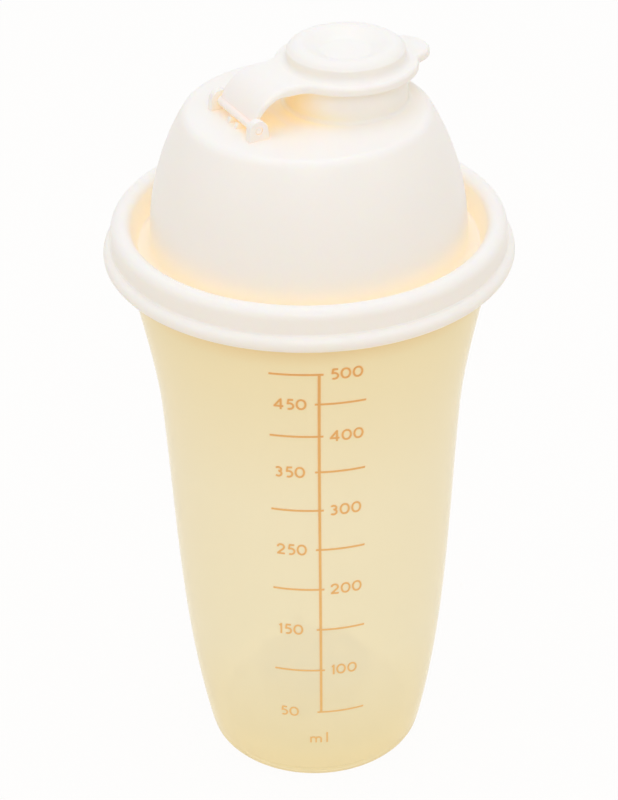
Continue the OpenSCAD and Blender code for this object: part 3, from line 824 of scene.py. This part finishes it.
class JUG_OT_scale(bpy.types.Operator):
    """Prints the millilitre scale on the front and the back of the tumbler"""
    bl_idname = "jug.scale"
    bl_label = "Scale"

    marks = range(50, 501, 50)
    prints = (("front_scale", "front_scale_print", 0.0), ("back_scale", "back_scale_print", math.pi))

    # each digit is drawn with a brush from its left edge and its foot, and gives its width
    def zero(self, b, x, y, k):
        a, h, r = 1.04 * k, 1.44 * k, 0.9 * k
        side_r = (a ** 2 + (h - r) ** 2 - r ** 2) / (2 * (a - r))
        lean = math.degrees(math.atan2(h - r, side_r - a))
        b.at(x + 2 * a, y + h, 90).bow(side_r, lean).bow(r, 180 - 2 * lean, 12).bow(side_r, 2 * lean, 10)
        b.bow(r, 180 - 2 * lean, 12).bow(side_r, lean)
        return 2.08 * k

    def one(self, b, x, y, k):
        b.at(x + 0.1 * k, y + 2.42 * k, 0).to(x + 0.5 * k, y + 2.8 * k)
        b.at(x + 0.5 * k, y - 0.21 * k, 90).go(3.3 * k)
        return 0.55 * k

    def two(self, b, x, y, k):
        b.at(x + 0.04 * k, y + 2.1 * k, 85).bow(0.82 * k, -218, 18).to(x + 0.02 * k, y)
        b.at(x - 0.1 * k, y, 0).go(1.95 * k)
        return 1.75 * k

    def three(self, b, x, y, k):
        b.at(x + 0.12 * k, y + 2.46 * k, 52).bow(0.68 * k, -222, 16)
        b.at(x + 0.62 * k, y + 1.58 * k, 0).bow(0.79 * k, -225, 18)
        return 1.55 * k

    def four(self, b, x, y, k):
        b.at(x + 1.5 * k, y - 0.21 * k, 90).go(3.3 * k)
        b.at(x + 1.5 * k, y + 2.95 * k, 0).to(x - 0.05 * k, y + 0.72 * k)
        b.at(x - 0.2 * k, y + 0.72 * k, 0).go(2.3 * k)
        return 2.0 * k

    def five(self, b, x, y, k):
        b.at(x + 1.62 * k, y + 2.88 * k, 180).go(1.2 * k)
        b.at(x + 0.52 * k, y + 2.98 * k, 0).to(x + 0.3 * k, y + 1.5 * k)
        b.at(x + 0.3 * k, y + 1.62 * k, 32).bow(0.9 * k, -240, 20)
        return 1.62 * k

    def unit(self, b, x, y, k):
        """Writes the unit of millilitres."""
        b.at(x, y - 0.21 * k, 90).go(2.15 * k)
        for i in range(2):
            b.at(x + 1.36 * i * k, y + 1.2 * k, 90).bow(0.68 * k, -180, 12).go(1.41 * k)
        b.at(x + 4.3 * k, y - 0.21 * k, 90).go(3.8 * k)

    def number(self, b, text, x, y, k):
        """Writes digits from a left edge, their middle at a height."""
        glyphs = dict(zip("012345", (self.zero, self.one, self.two, self.three, self.four, self.five)))
        x, y = x + b.width / 2, y - 1.44 * k
        for digit in text:
            x += glyphs[digit](b, x, y, k) + 0.86 * k

    def flat_print(self, f):
        """The scale as a flat sheet: X along the wall, Y its height."""
        t = f.t
        bm = bmesh.new()
        k = t.digit_h / DIGIT_GRID
        heights = [f.mark_z(ml) for ml in self.marks]
        line = Brush(bm, t.line_w).at(0, heights[0] - t.mark_w / 2, 90)
        line.go(heights[-1] - heights[0] + t.mark_w, 48)
        for ml, z in zip(self.marks, heights):
            leftward = ml % 100 == 0
            left, right = (t.left_mark_l, t.stub_l) if leftward else (t.stub_l, t.right_mark_l)
            Brush(bm, t.mark_w).at(-left, z, 0).go(left - t.line_w / 2, 10)
            Brush(bm, t.mark_w).at(t.line_w / 2, z, 0).go(right - t.line_w / 2, 10)
            self.number(Brush(bm, t.stroke), str(ml), t.digit_right if leftward else -t.digit_left, z, k)
        self.unit(Brush(bm, t.stroke), UNIT_X, UNIT_Z, k)
        for face in outward(welded(bm, EPS)).faces:
            if face.normal.z < 0:
                face.normal_flip()
        return thickened(bm, (0, 0, t.ink_t))

    def execute(self, context):
        f = Form(context.scene)
        ink = scale_ink(context.scene.jug_finish, f.t.height)
        for name, node, facing in self.prints:
            bm = self.flat_print(f)
            for v in bm.verts:
                along, z, out = v.co
                wall = f.wall_r(z)
                angle = along / wall + facing
                r = wall + f.t.ink_gap + out
                v.co = (r * math.sin(angle), -r * math.cos(angle), z)
            piece(bm, name, ink, "tumbler", "scale_ink", node)
        return {"FINISHED"}


class JUG_OT_lid(bpy.types.Operator):
    """Builds the domed lid with its rim, trough, spout, hinge ears and rests"""
    bl_idname = "jug.lid"
    bl_label = "Lid"

    def shell(self, f):
        """The rim, trough and dome, open at the top where the spout goes."""
        l = f.l
        s = Section(f.band_r, f.low_bead_z - l.low_bead_r).arc(f.band_r, f.low_bead_z, 172, 18)
        s.line((f.band_r, f.low_bead_z + l.low_bead_r + BAND_FOOT), (f.band_r, f.top_bead_z))
        s.arc(f.top_bead_x, f.top_bead_z, 180, 20)
        round_x, round_z = f.trough_out - l.trough_round, f.trough_z + l.trough_round
        s.line((f.trough_out, round_z)).arc(round_x, round_z, -90, 5).line((f.trough_in, f.trough_z))
        s.arc(f.trough_in, f.dome_foot_z, -90, 8).arc(f.bow_x, f.dome_foot_z, f.bow_end, 28)
        s.arc(f.edge_x, f.edge_z, 90 - f.bow_end, 10)
        outer = s.spun()
        s = Section(f.edge_x, f.dome_top - l.wall).arc(f.edge_x, f.edge_z, f.bow_end - 90, 6)
        s.arc(f.bow_x, f.dome_foot_z, -f.bow_end, 20)
        s.line((f.dome_r - l.wall, f.lid_low_z), (f.plug_wall_r, f.lid_low_z), (f.channel_in, f.bead_z),
               (f.channel_in, f.channel_z), (f.channel_out, f.channel_z), (f.channel_out, f.low_bead_z),
               (f.band_r, f.low_bead_z - l.low_bead_r))
        return joined(outer, inside(s.spun()))

    def spout(self, f):
        """The spout with its foot's fillet, its lip and its bore."""
        l = f.l
        lip = LIP_EDGE
        s = Section(f.spout_foot_r, f.dome_top).arc(f.spout_foot_r, f.dome_top + l.spout_fillet, -90, 6)
        s.line((l.spout_r, f.spout_top - lip)).arc(l.spout_r - lip, f.spout_top - lip, 90, 4)
        s.line((f.bore_r + lip, f.spout_top)).arc(f.bore_r + lip, f.spout_top - lip, 90, 4)
        s.line((f.bore_r, f.dome_top - l.wall))
        bm = s.spun()
        inside(bm, [face for face in bm.faces if face.calc_center_median().xy.length < f.bore_r])
        return moved(bm, f.l.spout_x)

    def ear(self, f):
        """One ear as a plate with a hole for the pin, its near face at Y 0."""
        l = f.l
        slope = math.degrees(math.asin((l.ear_foot - l.ear_r) / l.pin_rise / 2))
        top = l.ear_r * math.cos(math.radians(slope)), l.pin_rise + l.ear_r * math.sin(math.radians(slope))
        s = Section(l.ear_foot + SINK, -SINK).line((l.ear_foot, EAR_FOOT), top)
        s.arc(0, l.pin_rise, 180 - 2 * slope, 14)
        s.line((-l.ear_foot, EAR_FOOT), (-l.ear_foot - SINK, -SINK), (l.ear_foot + SINK, -SINK))
        hole = Section(l.pin_r + l.pin_clearance, l.pin_rise).arc(0, l.pin_rise, 360, 32)
        bm = joined(welded(s.bm), welded(hole.bm))
        filled(bm, bm.edges[:])
        return thickened(bm, (0, l.ear_t, 0))

    def rest(self, f):
        """One low rest, scooped to the bar."""
        l, reach = f.l, f.l.rest_reach
        half = math.degrees(math.acos((l.pin_rise - f.rest_h) / f.scoop_r))
        x = f.scoop_r * math.sin(math.radians(half))
        s = Section(reach, -SINK).line((reach - f.rest_h / 2, f.rest_h), (x, f.rest_h))
        s.arc(0, l.pin_rise, -2 * half, 10)
        s.line((-reach + f.rest_h / 2, f.rest_h), (-reach, -SINK), (reach, -SINK))
        return soften(s.plate(l.rest_w), REST_EDGE, 2)

    def execute(self, context):
        f = Form(context.scene)
        l = f.l
        bm = welded(joined(self.shell(f), self.spout(f)))
        bmesh.ops.bridge_loops(bm, edges=open_loops(bm, f.dome_top))
        inside(bm, filled(bm, open_loops(bm, f.dome_top - l.wall)))
        parts = [outward(bm)]
        for y in (f.ear_in, -f.ear_out):
            parts.append(moved(self.ear(f), -l.hinge_x, y, f.dome_top))
        for y in (l.rest_y, -l.rest_y):
            parts.append(moved(self.rest(f), -l.hinge_x, y - l.rest_w / 2, f.dome_top))
        finish = context.scene.jug_finish
        lid = piece(turned(joined(*parts), l.turned), "lid_shell", cream_plastic(finish), "lid",
                    "lid_plastic", "dome_lid")
        lid.data.materials.append(cream_inside(finish))
        return {"FINISHED"}


class JUG_OT_cap(bpy.types.Operator):
    """Builds the flip cap with its flange, tab, dish, plug, strap and hinge bar"""
    bl_idname = "jug.cap"
    bl_label = "Cap"

    def plate(self, f):
        """The flange with the tab and the flat strap, closed but for the middles of its two faces."""
        c = f.c
        big, half, fillet = f.flange_r, c.strap_w / 2, c.strap_fillet
        end = f.bend_x - f.bend_mid_r * f.bend_angle - f.l.spout_x
        x = -math.sqrt((big + fillet) ** 2 - (half + fillet) ** 2)
        strap_angle = math.degrees(math.atan2(half + fillet, -x))
        tip_x = big + c.tab_out - c.tab_tip_r
        tab_x = ((big + c.tab_fillet) ** 2 - (c.tab_tip_r + c.tab_fillet) ** 2 + tip_x ** 2) / (2 * tip_x)
        tab_y = math.sqrt((big + c.tab_fillet) ** 2 - tab_x ** 2)
        root = math.degrees(math.atan2(tab_y, tab_x))
        tip = math.degrees(math.atan2(tab_y, tab_x - tip_x))
        s = Section(end, -half).line((x, -half)).arc(x, -half - fillet, strap_angle - 90, 10)
        s.arc(0, 0, 180 - strap_angle - root, 64).arc(tab_x, -tab_y, -(tip - root), 8)
        s.arc(tip_x, 0, 2 * tip, 24).arc(tab_x, tab_y, -(tip - root), 8)
        s.arc(0, 0, 180 - strap_angle - root, 64).arc(x, half + fillet, strap_angle - 90, 10)
        s.line((end, half), (end, -half))
        bm = turned(s.plate(-c.flange_t), -math.pi / 2, "X")
        for z, size in ((c.flange_t, c.edge_top), (0.0, c.edge_low)):
            edges = [e for e in bm.edges if all(abs(v.co.z - z) < EPS for v in e.verts)]
            bevelled(bm, edges, size, 5)
        flats = [face for face in bm.faces if len(face.verts) > FLAT_CORNERS]
        bmesh.ops.delete(bm, geom=flats, context="FACES_ONLY")
        return moved(bm, 0, 0, f.flange_z)

    def top(self, f):
        """The side, ring and dish."""
        c = f.c
        bow_x, bow_z = f.cap_bow_x, f.cap_top - c.bow_r
        edge = RING_EDGE
        edge_x = f.ring_r - edge
        edge_z = bow_z + math.sqrt((c.bow_r - edge) ** 2 - (edge_x - bow_x) ** 2)
        edge_turn = math.degrees(math.atan2(edge_z - bow_z, edge_x - bow_x))
        s = Section(f.cove_r, f.flange_top).arc(f.cove_r, f.flange_top + c.cove, -90, 8)
        s.line((f.ring_r, edge_z)).arc(edge_x, edge_z, edge_turn, 4).arc(bow_x, bow_z, 90 - edge_turn, 10)
        fall = math.atan2(c.dish_depth, f.dish_rim_r - c.dish_flat_r)
        soft = DISH_SOFT
        reach = soft * math.tan(fall / 2)
        rim_x = f.dish_rim_r + reach
        s.line((rim_x, f.cap_top)).arc(rim_x, f.cap_top - soft, math.degrees(fall), 6)
        s.line((c.dish_flat_r + reach * math.cos(fall), f.dish_z + reach * math.sin(fall)))
        s.arc(c.dish_flat_r - reach, f.dish_z + soft, -math.degrees(fall), 6).line((0, f.dish_z))
        return s.spun()

    def under(self, f):
        """The plug and the hollow below the dish."""
        c = f.c
        plug_z = f.flange_z - c.plug_depth
        s = Section(f.plug_r, f.flange_z).line((f.plug_r - c.plug_taper, plug_z))
        s.line((f.plug_r - c.plug_taper - c.wall / 2, plug_z), (f.plug_r - c.wall, f.flange_z))
        s.line((f.ring_r - c.wall, f.cap_edge - c.wall), (f.dish_rim_r, f.cap_top - c.wall))
        s.line((c.dish_flat_r, f.dish_z - c.wall), (0, f.dish_z - c.wall))
        return inside(s.spun())

    def bar(self, f):
        """The hinge bar with a pin at each end, along Y."""
        pin, bar, half = f.l.pin_r, f.c.bar_r, f.c.strap_w / 2
        edge = PIN_EDGE
        s = Section(0, -f.ear_out).line((pin - edge, -f.ear_out)).arc(pin - edge, -f.ear_out + edge, 90, 3)
        s.line((pin, -half), (bar - edge, -half)).arc(bar - edge, -half + edge, 90, 3)
        s.line((bar, half - edge)).arc(bar - edge, half - edge, 90, 3)
        s.line((pin, half), (pin, f.ear_out - edge))
        s.arc(pin - edge, f.ear_out - edge, 90, 3).line((0, f.ear_out))
        return moved(turned(s.spun(BAR_STEPS), math.pi / 2, "X"), -f.l.hinge_x, 0, f.pin_z)

    def bend(self, bm, f):
        """Thins the strap and bends it down to the bar."""
        c = f.c
        arc_l = f.bend_mid_r * f.bend_angle
        for i in range(BEND_CUTS):
            bmesh.ops.bisect_plane(bm, geom=bm.verts[:] + bm.edges[:] + bm.faces[:], dist=EPS,
                                   plane_co=(f.bend_x - arc_l * i / BEND_CUTS, 0, 0), plane_no=(1, 0, 0))
        for v in bm.verts:
            past = f.bend_x - v.co.x
            if past > EPS:
                rise = c.strap_lift + (v.co.z - f.flange_z) * c.strap_t / c.flange_t
                thin = min(1.0, past / THINNING)
                rise = (v.co.z - f.flange_z) * (1 - thin) + rise * thin
                angle = past / f.bend_mid_r
                r = c.strap_bend_r - c.strap_lift + rise
                v.co.x = f.bend_x - r * math.sin(angle)
                v.co.z = f.bend_z + r * math.cos(angle)

    def execute(self, context):
        f = Form(context.scene)
        bm = welded(joined(self.plate(f), self.top(f), self.under(f)))
        for z in (f.flange_z, f.flange_z + f.c.flange_t):
            filled(bm, open_loops(bm, z))
        moved(outward(bm), f.l.spout_x)
        self.bend(bm, f)
        whole = joined(bm, self.bar(f))
        finish = context.scene.jug_finish
        cap = piece(turned(whole, f.l.turned), "cap_shell", cream_plastic(finish), "cap",
                    "lid_plastic", "flip_cap")
        cap.data.materials.append(cream_inside(finish))
        return {"FINISHED"}


class JUG_OT_wheel(bpy.types.Operator):
    """Builds the loose mixing wheel with its hub, ring and slanted fins"""
    bl_idname = "jug.wheel"
    bl_label = "Mixing wheel"

    def ring(self, inner, outer, low, high, edge):
        """A turned ring with rounded edges."""
        s = Section(outer - edge, low).arc(outer - edge, low + edge, 90, 4).line((outer, high - edge))
        s.arc(outer - edge, high - edge, 90, 4).line((inner + edge, high))
        s.arc(inner + edge, high - edge, 90, 4).line((inner, low + edge))
        s.arc(inner + edge, low + edge, 90, 4).line((outer - edge, low))
        return s.spun(WHEEL_STEPS)

    def fin(self, w, angle):
        """A slanted plate from the hub to the ring, level at its top and bottom."""
        bm = bmesh.new()
        bmesh.ops.create_cube(bm, size=1.0)
        inner, outer = (w.hub_r + w.hub_hole_r) / 2, w.radius - w.ring_t / 2
        bmesh.ops.scale(bm, verts=bm.verts[:], vec=(outer - inner, w.fin_t / math.cos(w.fin_slant), w.height))
        for v in bm.verts:
            v.co.y -= v.co.z * math.tan(w.fin_slant)
        soften(bm, FIN_EDGE, 3)
        return turned(moved(bm, (inner + outer) / 2), angle)

    def execute(self, context):
        f = Form(context.scene)
        w = f.w
        half = w.height / 2
        parts = [self.ring(w.hub_hole_r, w.hub_r, -half, half, HUB_EDGE),
                 self.ring(w.radius - w.ring_t, w.radius, -w.ring_h / 2, w.ring_h / 2, WHEEL_EDGE)]
        parts += [self.fin(w, math.tau * i / w.fin_count) for i in range(w.fin_count)]
        whole = moved(joined(*parts), 0, 0, f.t.floor_z + w.gap + half)
        piece(whole, "wheel_body", wheel_plastic(context.scene.jug_finish), "wheel",
              "wheel_plastic", "mixing_wheel")
        return {"FINISHED"}


class JUG_OT_stage(bpy.types.Operator):
    """Sets the floor, the light and the camera"""
    bl_idname = "jug.stage"
    bl_label = "Stage"

    def floor(self, finish):
        """A wide sheet of paper under the jug."""
        bm = bmesh.new()
        bmesh.ops.create_grid(bm, x_segments=2, y_segments=2, size=FLOOR_SIZE)
        linked(bm, "floor", floor_paper(finish))

    def sky(self, scene):
        """Soft light from all round, plain white where it is seen itself."""
        world = bpy.data.worlds.new("studio")
        scene.world = world
        s = Shader(world)
        seen = s.direct_rays()
        coords = s.node("ShaderNodeTexCoord", out="Generated")
        overhead = s.node("ShaderNodeSeparateXYZ", None, {0: coords}, out="Z")
        level = s.node("ShaderNodeMath", {"operation": "MAXIMUM"},
                       {0: seen, 1: SKY_LOW + (SKY_HIGH - SKY_LOW) * overhead})
        pale = s.clamped("ADD", overhead, seen)
        tint = s.mix(pale, SKY_TINT, s.mix(seen, SKY_TOP, (1.0, 1.0, 1.0)))
        back = s.node("ShaderNodeBackground", None, {"Color": tint, "Strength": level})
        out = s.tree.nodes.new("ShaderNodeOutputWorld")
        s.tree.links.new(back.socket, out.inputs["Surface"])

    def lamp(self, name, place, size, power):
        """A round soft lamp aimed at the jug."""
        light = bpy.data.lights.new(name, "AREA")
        light.shape, light.size, light.energy = "DISK", size, power
        obj = bpy.data.objects.new(name, light)
        obj.location = place
        obj.rotation_euler = (Vector(LAMP_AIM) - Vector(place)).to_track_quat("-Z", "Y").to_euler()
        bpy.context.scene.collection.objects.link(obj)

    def camera(self, scene):
        """The camera at the photograph's place."""
        azimuth, yaw, pitch, roll = (math.radians(a) for a in CAMERA_TURNS)
        ahead = Vector((math.sin(yaw) * math.cos(pitch), math.cos(yaw) * math.cos(pitch), -math.sin(pitch)))
        right = Vector((math.cos(yaw), -math.sin(yaw), 0))
        up = right.cross(ahead)
        side = math.cos(roll) * right + math.sin(roll) * up
        top = -math.sin(roll) * right + math.cos(roll) * up
        data = bpy.data.cameras.new("camera")
        data.lens, data.sensor_width = FOCAL_PX / PHOTO_H * SENSOR, SENSOR
        data.clip_start, data.clip_end = 0.01, 20
        obj = bpy.data.objects.new("camera", data)
        pose = Matrix((side, top, -ahead)).transposed().to_4x4()
        pose.translation = CAMERA_PLACE
        obj.matrix_world = Matrix.Rotation(azimuth, 4, "Z") @ pose
        scene.collection.objects.link(obj)
        scene.camera = obj

    def execute(self, context):
        scene = context.scene
        scene.view_settings.view_transform = "Standard"
        scene.cycles.max_bounces, scene.cycles.diffuse_bounces = LIGHT_BOUNCES, LIGHT_BOUNCES
        self.floor(scene.jug_finish)
        self.sky(scene)
        for lamp in LAMPS:
            self.lamp(*lamp)
        self.camera(scene)
        return {"FINISHED"}


STEPS = (JUG_OT_tumbler, JUG_OT_scale, JUG_OT_lid, JUG_OT_cap, JUG_OT_wheel, JUG_OT_stage)


class JUG_PT_panel(bpy.types.Panel):
    """Lists the pieces and their sizes"""
    bl_idname = "JUG_PT_panel"
    bl_label = "Shaker jug"
    bl_space_type = "VIEW_3D"
    bl_region_type = "UI"
    bl_category = "Shaker jug"

    def draw(self, context):
        for step in STEPS:
            self.layout.operator(step.bl_idname)
        for key, group in GROUPS.items():
            box = self.layout.box()
            for name in group.__annotations__:
                box.prop(getattr(context.scene, key), name)


CLASSES = (*GROUPS.values(), *STEPS, JUG_PT_panel)


def register():
    for cls in CLASSES:
        bpy.utils.register_class(cls)
    for key, group in GROUPS.items():
        setattr(bpy.types.Scene, key, bpy.props.PointerProperty(type=group))


def unregister():
    for key in GROUPS:
        delattr(bpy.types.Scene, key)
    for cls in reversed(CLASSES):
        bpy.utils.unregister_class(cls)


def main():
    register()
    bpy.ops.jug.stage()
    bpy.ops.jug.tumbler()
    bpy.ops.jug.scale()
    bpy.ops.jug.lid()
    bpy.ops.jug.cap()
    bpy.ops.jug.wheel()


if __name__ == "__main__":
    main()
